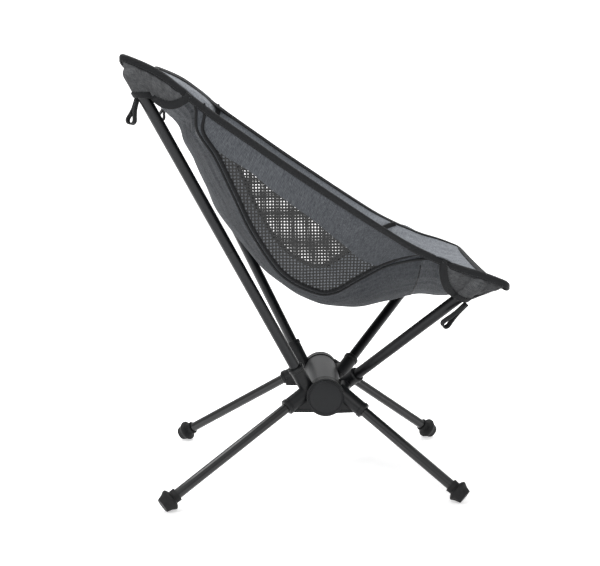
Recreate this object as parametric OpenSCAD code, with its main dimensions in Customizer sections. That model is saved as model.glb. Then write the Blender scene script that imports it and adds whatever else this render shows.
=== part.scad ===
// Ultralight backpacking chair: hub, four legs, four seat poles and a bucket sling seat.
// Millimetres. +Z up, the chair faces +X, the origin is on the ground below the middle.
// Every left-hand piece (+Y) is mirrored for the right-hand side (-Y).

/* [Hub] */
// Height of the hub's cross axis above the ground
hub_height = 142.5; // [138:0.5:148]
// Outside diameter of the ring at each end of the hub
barrel_d = 58; // [57.5:0.5:60]
// Outside diameter of the cross tube
cross_tube_d = 55; // [53:0.5:55.5]
// Outside diameter of a leg socket
leg_socket_d = 22.5; // [21:0.5:23]
// Outside diameter of a pole socket
pole_socket_d = 22; // [21.5:0.5:23]
// Diameter of the domed hub cap
hub_cap_d = 53.5; // [51:0.5:54]

/* [Legs] */
// Outside diameter of a leg tube
leg_d = 15.5; // [15:0.5:16]
// Fore and aft place of a rear foot
rear_foot_x = -225; // [-235:1:-215]
// Sideways place of a rear foot
rear_foot_y = 192; // [185:1:200]
// Fore and aft place of a front foot
front_foot_x = 193; // [185:1:203]
// Sideways place of a front foot
front_foot_y = 178; // [170:1:186]
// Largest diameter of a foot
foot_d = 33; // [30:1:34]

/* [Poles] */
// Outside diameter of a seat pole
pole_d = 16.5; // [16:0.5:17]
// Wall of every tube
tube_wall = 1.2; // [0.8:0.1:1.6]
// Share of the back pole's length at its ferrule joint
ferrule_share = 0.47; // [0.4:0.01:0.6]

/* [Seat] */
// Thickness of a fabric panel
fabric_t = 1.4; // [1:0.1:1.8]
// Depth of the woven binding round the rim
binding_w = 10; // [8:0.5:11]
// Thickness of the binding
binding_t = 4; // [3:0.5:4.5]
// Diameter of the seam piping
piping_d = 4.5; // [4:0.5:5.5]
// Roundness of the bucket from side to side
cup_power = 2.1; // [1.8:0.1:2.6]
// Width of the pull loop's webbing
webbing_w = 10; // [8:1:12]

/* [Hidden] */

LEFT = 1;
RIGHT = -1;

// Where the tube axes start at the hub and where they end
hub_x = 5;
rear_leg_root = [hub_x - 30, 88, hub_height + 4.5];
front_leg_root = [hub_x + 29, 95, hub_height + 1.5];
back_pole_root = [hub_x - 26, 86, hub_height + 7.5];
front_pole_root = [hub_x + 33.5, 46, hub_height + 9];
back_pole_tip = [-259.5, 246.3, 627];
front_pole_tip = [217, 220, 332.5];

// Foot, measured along the leg from its flat end
foot_tip_r = 11;
foot_tip_len = 15;
foot_neck_r = 10;
foot_neck_len = 19;
foot_len = 27;
foot_seat = 9;
foot_end_gap = 2;
foot_flank = 8;
foot_round = 2;
foot_shoulder = 3;
foot_collar_rise = 0.5;
foot_rear_guess = 17;

function unit(v) = v / norm(v);

// Centre of the foot's widest ring, so that the foot's lowest edge is on the ground
function foot_point(root, x, y) =
    let (guess = [x, y, foot_rear_guess],
         down = (root.z - guess.z) / norm(root - guess))
    [x, y, foot_tip_len * down + foot_tip_r * sqrt(1 - down * down)];

rear_foot = foot_point(rear_leg_root, rear_foot_x, rear_foot_y);
front_foot = foot_point(front_leg_root, front_foot_x, front_foot_y);

// Hub moulding, from its inner face to its cap
barrel_inner_y = 84;
barrel_outer_y = 104;
cross_tube_end_y = 92;
cap_seat_y = 100;
cap_proud = 1;
cap_dome = 2.4;
cap_chamfer = 0.6;
cap_bead = 1.2;
cap_groove = 0.4;
cap_dome_inset = 2.2;
knot_cavity_r = 17;
hub_wall = 3;
arm_r = 8.5;
arm_end = [hub_x + 26, 93, hub_height + 4];
leg_socket_len = 39;
leg_socket_back = 14;
leg_bore_start = 5;
back_socket_len = 47;
front_socket_len = 30;
pole_socket_back = 10;
back_bore_start = 16;
front_bore_start = 4;
collar_len = 7;
collar_rise = 1;
chamfer = 1.2;
web_w = 9;
web_drop = 25;
web_lift = 3;
web_root_reach = 12;
web_socket_share = 4;
web_foot_reach = 8;
web_sink = 1.4;
web_sink_scale = 0.62;
cap_clear = 12;
running_gap = 0.05;
push_gap = 0.02;
round_fn = 64;

// Shock cords
cord_r = 1.6;
knot_r = 3.4;
knot_gap = 0.3;
knot_seat = 1.5;

// Pole joints and caps
ferrule_len = 90;
tip_cap_len = 9;
tip_cap_spigot = 14;
tip_cap_round = 2.5;
tip_cap_mouth = 1;
seam_lip = 0.25;

// Side edge of the centre strip, station by station from the top hem to the front hem.
// Stations 0 to 2 and 12 to 15 lie on the rim, and 2 to 12 follow the side seam.
EDGE = [
    [-268, 250, 647], [-220, 247, 620], [-170, 242, 587], [-167, 236, 547],
    [-146, 226, 511], [-124, 217, 462], [-98, 206, 404], [-59, 175, 343],
    [-13, 150, 313], [17, 145, 311], [55, 157, 333], [96, 186, 357],
    [151, 228, 371], [188, 225, 355], [220, 224, 345], [253, 222, 329]
];
// Middle line of the centre strip at the same stations
KEEL = [
    [-258, 0, 602], [-234, 0, 576], [-211, 0, 550], [-202, 0, 528],
    [-193, 0, 506], [-171, 0, 456], [-140, 0, 399], [-77, 0, 323],
    [-22, 0, 284], [20, 0, 270], [60, 0, 268], [105, 0, 277],
    [148, 0, 287], [187, 0, 286], [226, 0, 285], [262, 0, 293]
];
// Rim above the side seam; outside stations 2 to 12 it is the strip's edge
RIM = [
    EDGE[0], EDGE[1], EDGE[2], [-145, 242, 568],
    [-120, 241, 550], [-85, 240, 525], [-50, 238, 500], [-5, 236, 469],
    [30, 234, 445], [55, 233, 428], [82, 232, 410], [112, 230, 391],
    EDGE[12], EDGE[13], EDGE[14], EDGE[15]
];
// Share of the side panel that is mesh, from the seam up, at stations 4 to 11
MESH_SHARE = [0, 0.52, 0.64, 0.70, 0.66, 0.58, 0.34, 0];
mesh_first = 4;
mesh_last = 11;
crescent_first = 2;
crescent_last = 12;
back_seam = 3.9;
back_seam_middle = 1.15;
back_seam_power = 1.8;
front_seam = 11.6;
last_station = 15;

// Room between neighbouring fabric pieces
seam_gap = 0.5;
seam_half_gap = 0.02;
rim_inset = 6.5;
side_rim_inset = 9.8;
piping_inset = 3.6;
side_piping_inset = 4.8;
hem_start = 0.2;
hem_finish = 0.25;
side_start = 0.62;
side_finish = 0.72;
mesh_start = 0.25;
mesh_finish = 0.32;
binding_start = 0.12;
piping_ends = 0.42;

// Corner pockets, measured along the pole from its tip
back_pocket_len = 37;
front_pocket_len = 40;
pocket_end = 4;
pocket_r = 11.5;
pocket_bore_r = 9.2;
pocket_edge_r = 2.5;
pocket_drop = 14;
pocket_bore_start = 0.5;
corner_binding_w = 6;
mouth_gap = 0.2;
mouth_len = 7;
mouth_r = 12.6;
corner_rim_stations = 1.05;
front_rim_extra = 0.2;
corner_hem_share = 0.70;
corner_hem_first = 0.96;
corner_narrow = 0.06;
back_corner_reach = 0.3;
front_corner_reach = 0.45;
hem_corner_gap = 0.03;
back_rim_end = corner_rim_stations;
front_rim_end = last_station - corner_rim_stations - front_rim_extra;

// Pull loops
loop_len = 34;
loop_w = 6.8;
loop_wall = 1.6;
loop_lead = 14.5;
loop_top_r = 1.6;
loop_slit_top = 0.35;
loop_slit_r = 0.3;
loop_back_tilt = 13;
loop_front_tilt = 38;

// Smooth curve through a list of points, t counted in stations
function held(list, i) = list[max(0, min(len(list) - 1, i))];
function blend4(a, b, c, d, u) =
    0.5 * (2 * b + (c - a) * u + (2 * a - 5 * b + 4 * c - d) * u * u + (3 * b - a - 3 * c + d) * u * u * u);
function along(list, t) =
    let (i = min(floor(t), len(list) - 2))
    blend4(held(list, i - 1), held(list, i), held(list, i + 1), held(list, i + 2), t - i);

// Point of the centre strip; v runs from -1 at the right edge to 1 at the left edge
function strip(t, v) =
    let (e = along(EDGE, t), k = along(KEEL, t), f = pow(abs(v), cup_power))
    [k.x + (e.x - k.x) * f, e.y * v, k.z + (e.z - k.z) * f];

// Point of the left side panel; s runs from 0 at the seam to 1 at the rim
function side(t, s) = let (e = along(EDGE, t), r = along(RIM, t)) e + (r - e) * s;
function mesh_edge(t) = (t <= mesh_first || t >= mesh_last) ? 0 : max(0, along(MESH_SHARE, t - mesh_first));
function side_depth(t) = norm(along(RIM, t) - along(EDGE, t));

// Evenly spaced values, both ends included
function steps(a, b, n) = [for (i = [0 : n]) a + (b - a) * i / n];

// Unit normal of a grid of points at row i, column j
function grid_normal(g, i, j) =
    let (n = len(g) - 1, m = len(g[0]) - 1,
         du = g[min(n, i + 1)][j] - g[max(0, i - 1)][j],
         dv = g[i][min(m, j + 1)] - g[i][max(0, j - 1)])
    unit(cross(du, dv));

// Two triangles of a sheet's edge between points a and b; k is the step to its underside
function wall(a, b, k) = [[b, a, a + k], [b, a + k, b + k]];

// Solid sheet of thickness t on a grid of points
module sheet(g, t) {
    n = len(g);
    m = len(g[0]);
    upper = [for (i = [0 : n - 1]) for (j = [0 : m - 1]) g[i][j] + grid_normal(g, i, j) * t / 2];
    lower = [for (i = [0 : n - 1]) for (j = [0 : m - 1]) g[i][j] - grid_normal(g, i, j) * t / 2];
    k = n * m;
    top = [for (i = [0 : n - 2]) for (j = [0 : m - 2]) let (a = i * m + j)
        each [[a, a + 1, a + m + 1], [a, a + m + 1, a + m]]];
    under = [for (f = top) [f[2] + k, f[1] + k, f[0] + k]];
    first = [for (j = [0 : m - 2]) each wall(j, j + 1, k)];
    last = [for (j = [0 : m - 2]) each wall((n - 1) * m + j + 1, (n - 1) * m + j, k)];
    near = [for (i = [0 : n - 2]) each wall((i + 1) * m, i * m, k)];
    far = [for (i = [0 : n - 2]) each wall(i * m + m - 1, (i + 1) * m + m - 1, k)];
    faces = concat(top, under, first, last, near, far);
    polyhedron(concat(upper, lower), [for (f = faces) [f[2], f[1], f[0]]]);
}

// Closed tube of oval section swept along a list of points
module sweep(points, wide, tall, upright = [0, 0, 1], sides = 8) {
    n = len(points);
    rings = [for (i = [0 : n - 1])
        let (d = unit(points[min(n - 1, i + 1)] - points[max(0, i - 1)]),
             across = unit(cross(d, upright)),
             up = cross(across, d))
        for (a = [0 : sides - 1]) points[i]
            + across * wide / 2 * cos(a * 360 / sides + 180 / sides)
            + up * tall / 2 * sin(a * 360 / sides + 180 / sides)];
    skin = [for (i = [0 : n - 2]) for (a = [0 : sides - 1])
        let (p = i * sides + a, q = i * sides + (a + 1) % sides)
        each [[p, q, q + sides], [p, q + sides, p + sides]]];
    start = [for (a = [1 : sides - 2]) [0, a + 1, a]];
    end = [for (a = [1 : sides - 2]) [(n - 1) * sides, (n - 1) * sides + a, (n - 1) * sides + a + 1]];
    polyhedron(rings, concat(skin, start, end));
}

// Draws a left-hand piece on either side
module on_side(s) {
    if (s == LEFT) children();
    else mirror([0, 1, 0]) children();
}

// Places a child that is drawn along +Z at point a, pointing to point b
module aim(a, b) {
    d = b - a;
    translate(a) rotate([0, acos(d.z / norm(d)), atan2(d.y, d.x)]) children();
}

module tube(r, h, inner) {
    difference() {
        cylinder(r = r, h = h, $fn = round_fn);
        translate([0, 0, -1]) cylinder(r = inner, h = h + 2, $fn = round_fn);
    }
}

// ---- Hub ----
// Outline of the web between a leg socket and the barrel, seen from the side
function web_outline(root, foot) =
    let (outer = root + unit(foot - root) * (leg_socket_len - web_socket_share),
         inward = root.x < hub_x ? 1 : -1)
    [
        [root.x + inward * web_root_reach, root.z + 2],
        [outer.x, outer.z],
        [outer.x - inward, hub_height - web_drop + 1],
        [hub_x - inward * web_foot_reach, hub_height - web_drop]
    ];
function middle(points) = [for (i = [0 : 1]) sum_of(points, i) / len(points)];
function sum_of(points, i, k = 0) = k == len(points) ? 0 : points[k][i] + sum_of(points, i, k + 1);
function shrink(points, share) = let (c = middle(points)) [for (p = points) c + (p - c) * share];

// Upright plate through outline, from y = a to y = b
module plate(outline, a, b) {
    translate([0, b, 0]) rotate([90, 0, 0]) linear_extrude(b - a) polygon(outline);
}

module leg_web(root, foot) {
    outline = web_outline(root, foot);
    near = min(root.y + web_w / 2 + web_lift, barrel_outer_y - chamfer);
    difference() {
        plate(outline, near - web_w, near);
        plate(shrink(outline, web_sink_scale), near - web_sink, near + 1);
        plate(shrink(outline, web_sink_scale), near - web_w - 1, near - web_w + web_sink);
    }
}

// Round socket along +Z with a thicker, chamfered mouth
module socket(r, back, reach) {
    rotate_extrude($fn = round_fn) polygon([
        [0, -back], [r - chamfer, -back], [r, chamfer - back], [r, reach - collar_len],
        [r + collar_rise, reach - collar_len + collar_rise], [r + collar_rise, reach - chamfer],
        [r + collar_rise - chamfer, reach], [0, reach]
    ]);
}

module hub(s) {
    color([0.10, 0.11, 0.12]) on_side(s) difference() {
        union() {
            translate([hub_x, barrel_outer_y, hub_height]) rotate([90, 0, 0])
                cylinder(d = barrel_d, h = barrel_outer_y - barrel_inner_y, $fn = round_fn);
            for (leg = [[rear_leg_root, rear_foot], [front_leg_root, front_foot]]) {
                aim(leg[0], leg[1]) socket(leg_socket_d / 2, leg_socket_back, leg_socket_len);
                leg_web(leg[0], leg[1]);
            }
            aim(front_pole_root, arm_end)
                cylinder(r = arm_r, h = norm(arm_end - front_pole_root), $fn = round_fn);
            aim(back_pole_root, back_pole_tip)
                socket(pole_socket_d / 2, pole_socket_back, back_socket_len);
            aim(front_pole_root, front_pole_tip)
                socket(pole_socket_d / 2, pole_socket_back, front_socket_len);
        }
        for (leg = [[rear_leg_root, rear_foot], [front_leg_root, front_foot]])
            aim(leg[0], leg[1]) translate([0, 0, leg_bore_start])
                cylinder(r = leg_d / 2 + running_gap, h = leg_socket_len, $fn = round_fn);
        aim(back_pole_root, back_pole_tip) translate([0, 0, back_bore_start])
            cylinder(r = pole_d / 2 + push_gap, h = back_socket_len, $fn = round_fn);
        aim(front_pole_root, front_pole_tip) translate([0, 0, front_bore_start])
            cylinder(r = pole_d / 2 + push_gap, h = front_socket_len, $fn = round_fn);
        translate([hub_x, cross_tube_end_y, hub_height]) rotate([90, 0, 0])
            cylinder(r = cross_tube_d / 2 + push_gap, h = cross_tube_end_y, $fn = round_fn);
        translate([hub_x, barrel_outer_y + 1, hub_height]) rotate([90, 0, 0])
            cylinder(r = knot_cavity_r, h = barrel_outer_y + 1 - cross_tube_end_y - hub_wall, $fn = round_fn);
        translate([hub_x, barrel_outer_y + cap_clear, hub_height]) rotate([90, 0, 0])
            cylinder(d = hub_cap_d, h = barrel_outer_y + cap_clear - cap_seat_y, $fn = round_fn);
    }
}

module hub_cross_tube() {
    color([0.28, 0.28, 0.30]) translate([hub_x, cross_tube_end_y - push_gap, hub_height]) rotate([90, 0, 0])
        tube(cross_tube_d / 2, 2 * (cross_tube_end_y - push_gap), cross_tube_d / 2 - 2 * tube_wall);
}

// Plug disc, a rim bead, a fine groove and a low dome
module hub_cap(s) {
    r = hub_cap_d / 2 - push_gap;
    face = barrel_outer_y - cap_seat_y + cap_proud;
    dome_r = r - cap_dome_inset;
    dome = [for (a = [0 : 15 : 90]) [dome_r * cos(a), face + cap_dome * sin(a)]];
    color([0.13, 0.14, 0.15]) on_side(s) translate([hub_x, cap_seat_y, hub_height]) rotate([-90, 0, 0])
        rotate_extrude($fn = round_fn) polygon(concat([
            [0, 0], [r, 0], [r, face], [r - cap_chamfer, face + cap_chamfer],
            [r - cap_bead, face + cap_chamfer], [r - cap_bead - cap_groove, face], [dome_r + cap_groove, face]
        ], dome));
}

// ---- Tubes of the frame ----
function point_on(a, b, d) = a + unit(b - a) * d;
back_pole_len = norm(back_pole_tip - back_pole_root);
front_pole_len = norm(front_pole_tip - front_pole_root);
ferrule_at = back_pole_len * ferrule_share;

module frame_tube(s, a, b, from, to, d) {
    color([0.09, 0.10, 0.12]) on_side(s) aim(a, b) translate([0, 0, from])
        tube(d / 2, to - from, d / 2 - tube_wall);
}

module back_pole_lower(s) {
    frame_tube(s, back_pole_root, back_pole_tip, back_bore_start + push_gap, ferrule_at - seam_lip, pole_d);
}

module back_pole_upper(s) {
    frame_tube(s, back_pole_root, back_pole_tip, ferrule_at + seam_lip, back_pole_len - tip_cap_len, pole_d);
}

module front_pole(s) {
    frame_tube(s, front_pole_root, front_pole_tip, front_bore_start + push_gap,
               front_pole_len - tip_cap_len, pole_d);
}

// Where a leg tube ends, short of the blind end of its foot
function leg_end(root, foot) = norm(foot - root) + foot_tip_len - foot_seat - foot_end_gap;

module leg(s, root, foot) {
    frame_tube(s, root, foot, leg_bore_start + running_gap, leg_end(root, foot), leg_d);
}

// Sleeve that joins the two sections of a back pole
module back_ferrule(s) {
    color([0.60, 0.61, 0.63]) on_side(s) aim(back_pole_root, back_pole_tip)
        translate([0, 0, ferrule_at - ferrule_len / 2])
            tube(pole_d / 2 - tube_wall - push_gap, ferrule_len, pole_d / 2 - 2 * tube_wall - push_gap);
}

// Moulded cap with a spigot that plugs the end of a pole
module tip_cap(s, root, tip) {
    len = norm(tip - root);
    cap_r = pole_d / 2;
    color([0.08, 0.08, 0.09]) on_side(s) aim(root, tip) translate([0, 0, len])
        rotate_extrude($fn = round_fn) polygon([
            [cord_r + knot_gap, -tip_cap_len - tip_cap_spigot],
            [cap_r - tube_wall - push_gap, -tip_cap_len - tip_cap_spigot],
            [cap_r - tube_wall - push_gap, -tip_cap_len],
            [cap_r, -tip_cap_len], [cap_r, -tip_cap_round], [cap_r - tip_cap_round, 0],
            [knot_r + tip_cap_mouth, 0], [knot_r + tip_cap_mouth, knot_seat - tip_cap_len],
            [cord_r + knot_gap, knot_seat - tip_cap_len]
        ]);
}

// Elastic cord with a knot at each end
module shock_cord(s, root, tip, from, to) {
    color([0.75, 0.75, 0.72]) on_side(s) aim(root, tip) union() {
        translate([0, 0, from + knot_r]) cylinder(r = cord_r, h = to - from - 2 * knot_r, $fn = 24);
        translate([0, 0, from + knot_r]) sphere(r = knot_r, $fn = 24);
        translate([0, 0, to - knot_r]) sphere(r = knot_r, $fn = 24);
    }
}

module back_pole_cord(s) {
    shock_cord(s, back_pole_root, back_pole_tip, back_bore_start + knot_gap,
               back_pole_len - tip_cap_len + knot_seat + knot_gap + 2 * knot_r);
}

module front_pole_cord(s) {
    shock_cord(s, front_pole_root, front_pole_tip, front_bore_start + knot_gap,
               front_pole_len - tip_cap_len + knot_seat + knot_gap + 2 * knot_r);
}

module leg_cord(s, root, foot) {
    shock_cord(s, root, foot, leg_bore_start + knot_gap, leg_end(root, foot) - knot_gap);
}

// Rubber foot: flat end, mushroom and collar, with a blind seat for the tube
module foot(s, root, foot) {
    color([0.10, 0.10, 0.11]) on_side(s) aim(foot, root) translate([0, 0, -foot_tip_len])
        rotate_extrude($fn = round_fn) polygon([
            [0, 0], [foot_tip_r, 0], [foot_d / 2 - foot_shoulder, foot_flank],
            [foot_d / 2, foot_tip_len - foot_round], [foot_d / 2, foot_tip_len],
            [foot_d / 2 - foot_round, foot_tip_len + foot_round],
            [foot_neck_r, foot_neck_len], [foot_neck_r + foot_collar_rise, foot_len],
            [leg_d / 2 + push_gap, foot_len], [leg_d / 2 + push_gap, foot_seat], [0, foot_seat]
        ]);
}

// ---- Seat sling ----
strip_columns = 14;

// How far the strip's edge stays inside its own side edge at station t
function edge_inset(t) = (t < crescent_first || t > crescent_last) ? rim_inset : piping_inset;

// The strip narrows near the hems, where a corner pocket has its own corner piece
function corner_cut(t) =
    let (back = max(0, 1 - t / (corner_rim_stations + back_corner_reach)),
         front = max(0, 1 - (last_station - t) / (corner_rim_stations + front_corner_reach)))
    1 - (1 - corner_hem_share + corner_narrow) * max(back, front);

// The seam between the back and seat panels rises towards the middle
function back_seam_at(v) = back_seam_middle + (back_seam - back_seam_middle) * pow(abs(v), back_seam_power);

// Point of a panel in row w, from 0 to 1 between two seams, and column v
function panel_point(from, to, w, v) =
    let (t = from + (to - from) * w, e = along(EDGE, t))
    strip(t, v * (1 - edge_inset(t) / e.y) * corner_cut(t));

module back_panel() {
    color([0.38, 0.40, 0.43])
        sheet([for (w = steps(0, 1, 8)) [for (v = steps(-1, 1, strip_columns))
            panel_point(hem_start, back_seam_at(v) - seam_half_gap, w, v)]], fabric_t);
}

module seat_panel() {
    color([0.27, 0.29, 0.32])
        sheet([for (w = steps(0, 1, 20)) [for (v = steps(-1, 1, strip_columns))
            panel_point(back_seam_at(v) + seam_half_gap, front_seam - seam_half_gap, w, v)]], fabric_t);
}

module front_panel() {
    color([0.36, 0.38, 0.41])
        sheet([for (w = steps(0, 1, 7)) [for (v = steps(-1, 1, strip_columns))
            panel_point(front_seam + seam_half_gap, last_station - hem_finish, w, v)]], fabric_t);
}

// Band of the side panel between two shares of its depth, kept off the rim and the seam
function side_low(t) =
    let (m = mesh_edge(t))
    max(side_piping_inset / side_depth(t), m + (m > 0 ? seam_gap / side_depth(t) : 0));
function side_high(t) = 1 - side_rim_inset / side_depth(t);
function mesh_high(t) = mesh_edge(t) - seam_gap / side_depth(t);

module side_panel(s) {
    color([0.35, 0.37, 0.40]) on_side(s)
        sheet([for (t = steps(crescent_first + side_start, crescent_last - side_finish, 22))
            [for (c = steps(side_low(t), side_high(t), 3)) side(t, c)]], fabric_t);
}

module mesh_panel(s) {
    color([0.16, 0.17, 0.18]) on_side(s)
        sheet([for (t = steps(mesh_first + mesh_start, mesh_last - mesh_finish, 16))
            [for (c = steps(side_piping_inset / side_depth(t), mesh_high(t), 3)) side(t, c)]], fabric_t);
}

// Centre of a binding of depth w: half its depth below the edge it covers
function bound(p, w = binding_w) = p - [0, 0, w / 2];

module rim_binding(s) {
    color([0.10, 0.11, 0.12]) on_side(s)
        sweep([for (t = steps(back_rim_end + binding_start, front_rim_end - binding_start, 30))
            bound(along(RIM, t))], binding_t, binding_w);
}

module hem(t) {
    share = corner_hem_share - hem_corner_gap;
    color([0.10, 0.11, 0.12])
        sweep([for (v = steps(-share, share, 20)) bound(strip(t, v))], binding_t, binding_w);
}

module seam_piping(s) {
    color([0.10, 0.11, 0.12]) on_side(s)
        sweep([for (t = steps(crescent_first + piping_ends, crescent_last - piping_ends, 30)) along(EDGE, t)],
              piping_d, piping_d, upright = [0, 1, 0], sides = 6);
}

// ---- Corner pockets ----
// Points of the sling's rim and hem that a corner's binding runs through
function corner_path(t0, rim_t) = concat(
    [for (t = steps(rim_t, t0, 5)) bound(along(RIM, t), corner_binding_w)],
    [for (v = steps(corner_hem_first, corner_hem_share, 4)) bound(strip(t0, v), corner_binding_w)]
);

// Wedge from the sling's corner down to the mouth that the pole goes in at
module pocket(s, root, tip, depth, t0, rim_t) {
    low = [0, 0, -pocket_drop];
    color([0.36, 0.38, 0.41]) on_side(s) difference() {
        hull() {
            aim(tip, root) translate([0, 0, -pocket_end])
                cylinder(r = pocket_r, h = depth + pocket_end, $fn = 32);
            for (p = [along(RIM, rim_t), along(RIM, t0), strip(t0, corner_hem_share)])
                translate(p + low) sphere(r = pocket_edge_r, $fn = 16);
        }
        aim(tip, root) translate([0, 0, -pocket_bore_start])
            cylinder(r = pocket_bore_r, h = depth + 2 * mouth_len, $fn = round_fn);
        aim(tip, root) translate([0, 0, depth])
            cylinder(r = mouth_r + mouth_gap, h = 2 * mouth_len, $fn = round_fn);
        sweep(corner_path(t0, rim_t), binding_t + 2 * seam_gap, corner_binding_w + 2 * seam_gap);
    }
}

module pocket_binding(s, root, tip, depth, t0, rim_t) {
    color([0.10, 0.11, 0.12]) on_side(s) {
        sweep(corner_path(t0, rim_t), binding_t, corner_binding_w);
        aim(tip, root) translate([0, 0, depth + mouth_gap]) tube(mouth_r, mouth_len, pocket_bore_r);
    }
}

// Teardrop of folded webbing, hanging below the pocket's mouth
module pull_loop(s, hinge, tilt) {
    color([0.09, 0.09, 0.10]) on_side(s) translate(hinge) rotate([0, tilt, 0]) rotate([90, 0, 0])
        translate([0, 0, -webbing_w / 2]) linear_extrude(webbing_w) difference() {
            hull() {
                translate([0, -loop_top_r]) circle(r = loop_top_r, $fn = 24);
                translate([0, -loop_len + loop_w / 2]) circle(r = loop_w / 2, $fn = 32);
            }
            hull() {
                translate([0, -loop_len * loop_slit_top]) circle(r = loop_slit_r, $fn = 16);
                translate([0, -loop_len + loop_w / 2]) circle(r = loop_w / 2 - loop_wall, $fn = 32);
            }
        }
}

// Hinge point of a pull loop: just outside the mouth, on the side away from the seat
function loop_hinge(root, tip, depth, away) =
    let (a = unit(tip - root),
         across = unit(away - a * (away * a)))
    tip - a * (depth + mouth_len) + across * loop_lead;

back_loop_hinge = loop_hinge(back_pole_root, back_pole_tip, back_pocket_len, [-1, 0, 0]);
front_loop_hinge = loop_hinge(front_pole_root, front_pole_tip, front_pocket_len, [0, 0, -1]);

module back_pocket(s) pocket(s, back_pole_root, back_pole_tip, back_pocket_len, 0, back_rim_end);
module front_pocket(s)
    pocket(s, front_pole_root, front_pole_tip, front_pocket_len, last_station, front_rim_end);
module back_pocket_binding(s)
    pocket_binding(s, back_pole_root, back_pole_tip, back_pocket_len, 0, back_rim_end);
module front_pocket_binding(s)
    pocket_binding(s, front_pole_root, front_pole_tip, front_pocket_len, last_station, front_rim_end);

hub(LEFT);  // hub_left
hub(RIGHT);  // hub_right
hub_cross_tube();
hub_cap(LEFT);  // hub_cap_left
hub_cap(RIGHT);  // hub_cap_right
back_pole_lower(LEFT);  // back_pole_lower_left
back_pole_lower(RIGHT);  // back_pole_lower_right
back_pole_upper(LEFT);  // back_pole_upper_left
back_pole_upper(RIGHT);  // back_pole_upper_right
back_ferrule(LEFT);  // back_ferrule_left
back_ferrule(RIGHT);  // back_ferrule_right
front_pole(LEFT);  // front_pole_left
front_pole(RIGHT);  // front_pole_right
tip_cap(LEFT, back_pole_root, back_pole_tip);  // back_tip_cap_left
tip_cap(RIGHT, back_pole_root, back_pole_tip);  // back_tip_cap_right
tip_cap(LEFT, front_pole_root, front_pole_tip);  // front_tip_cap_left
tip_cap(RIGHT, front_pole_root, front_pole_tip);  // front_tip_cap_right
back_pole_cord(LEFT);  // back_pole_cord_left
back_pole_cord(RIGHT);  // back_pole_cord_right
front_pole_cord(LEFT);  // front_pole_cord_left
front_pole_cord(RIGHT);  // front_pole_cord_right
leg_cord(LEFT, rear_leg_root, rear_foot);  // rear_leg_cord_left
leg_cord(RIGHT, rear_leg_root, rear_foot);  // rear_leg_cord_right
leg_cord(LEFT, front_leg_root, front_foot);  // front_leg_cord_left
leg_cord(RIGHT, front_leg_root, front_foot);  // front_leg_cord_right
leg(LEFT, rear_leg_root, rear_foot);  // rear_leg_left
leg(RIGHT, rear_leg_root, rear_foot);  // rear_leg_right
leg(LEFT, front_leg_root, front_foot);  // front_leg_left
leg(RIGHT, front_leg_root, front_foot);  // front_leg_right
foot(LEFT, rear_leg_root, rear_foot);  // rear_foot_left
foot(RIGHT, rear_leg_root, rear_foot);  // rear_foot_right
foot(LEFT, front_leg_root, front_foot);  // front_foot_left
foot(RIGHT, front_leg_root, front_foot);  // front_foot_right
back_panel();
seat_panel();
front_panel();
side_panel(LEFT);  // side_panel_left
side_panel(RIGHT);  // side_panel_right
mesh_panel(LEFT);  // mesh_panel_left
mesh_panel(RIGHT);  // mesh_panel_right
rim_binding(LEFT);  // rim_binding_left
rim_binding(RIGHT);  // rim_binding_right
hem(0);  // top_hem
hem(last_station);  // front_hem
seam_piping(LEFT);  // seam_piping_left
seam_piping(RIGHT);  // seam_piping_right
back_pocket(LEFT);  // back_pocket_left
back_pocket(RIGHT);  // back_pocket_right
front_pocket(LEFT);  // front_pocket_left
front_pocket(RIGHT);  // front_pocket_right
back_pocket_binding(LEFT);  // back_pocket_binding_left
back_pocket_binding(RIGHT);  // back_pocket_binding_right
front_pocket_binding(LEFT);  // front_pocket_binding_left
front_pocket_binding(RIGHT);  // front_pocket_binding_right
pull_loop(LEFT, back_loop_hinge, loop_back_tilt);  // back_pull_loop_left
pull_loop(RIGHT, back_loop_hinge, loop_back_tilt);  // back_pull_loop_right
pull_loop(LEFT, front_loop_hinge, loop_front_tilt);  // front_pull_loop_left
pull_loop(RIGHT, front_loop_hinge, loop_front_tilt);  // front_pull_loop_right
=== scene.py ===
import math
import bpy
import numpy as np
from mathutils import Matrix, Vector


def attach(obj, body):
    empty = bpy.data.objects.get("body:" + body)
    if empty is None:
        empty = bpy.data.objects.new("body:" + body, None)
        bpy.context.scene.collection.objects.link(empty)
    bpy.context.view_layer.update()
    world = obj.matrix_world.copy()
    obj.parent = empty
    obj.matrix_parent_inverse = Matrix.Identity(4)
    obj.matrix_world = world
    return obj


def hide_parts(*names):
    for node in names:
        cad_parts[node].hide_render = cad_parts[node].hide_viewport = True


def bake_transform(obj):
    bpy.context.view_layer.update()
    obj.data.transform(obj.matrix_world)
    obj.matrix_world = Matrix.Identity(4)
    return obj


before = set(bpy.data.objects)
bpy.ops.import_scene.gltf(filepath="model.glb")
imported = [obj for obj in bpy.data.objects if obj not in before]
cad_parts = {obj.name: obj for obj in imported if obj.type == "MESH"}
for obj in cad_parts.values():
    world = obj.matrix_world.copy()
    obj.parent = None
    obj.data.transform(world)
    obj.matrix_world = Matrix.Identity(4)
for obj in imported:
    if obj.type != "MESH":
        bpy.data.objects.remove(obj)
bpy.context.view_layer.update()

MM = 0.001
SIDES = {"left": 1, "right": -1}

# ---- Seat shape: the same stations as the CAD sling, in millimetres ----
# Side edge of the centre strip; stations 0 to 2 and 12 to 15 lie on the rim
EDGE = np.array([
    (-271, 252, 650), (-220, 247, 627), (-170, 242, 587), (-167, 236, 547),
    (-146, 226, 511), (-124, 217, 462), (-98, 206, 404), (-59, 175, 343),
    (-13, 150, 313), (17, 145, 311), (55, 157, 333), (96, 186, 357),
    (151, 228, 371), (188, 225, 355), (220, 224, 345), (256, 222, 330)]) * MM
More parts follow.
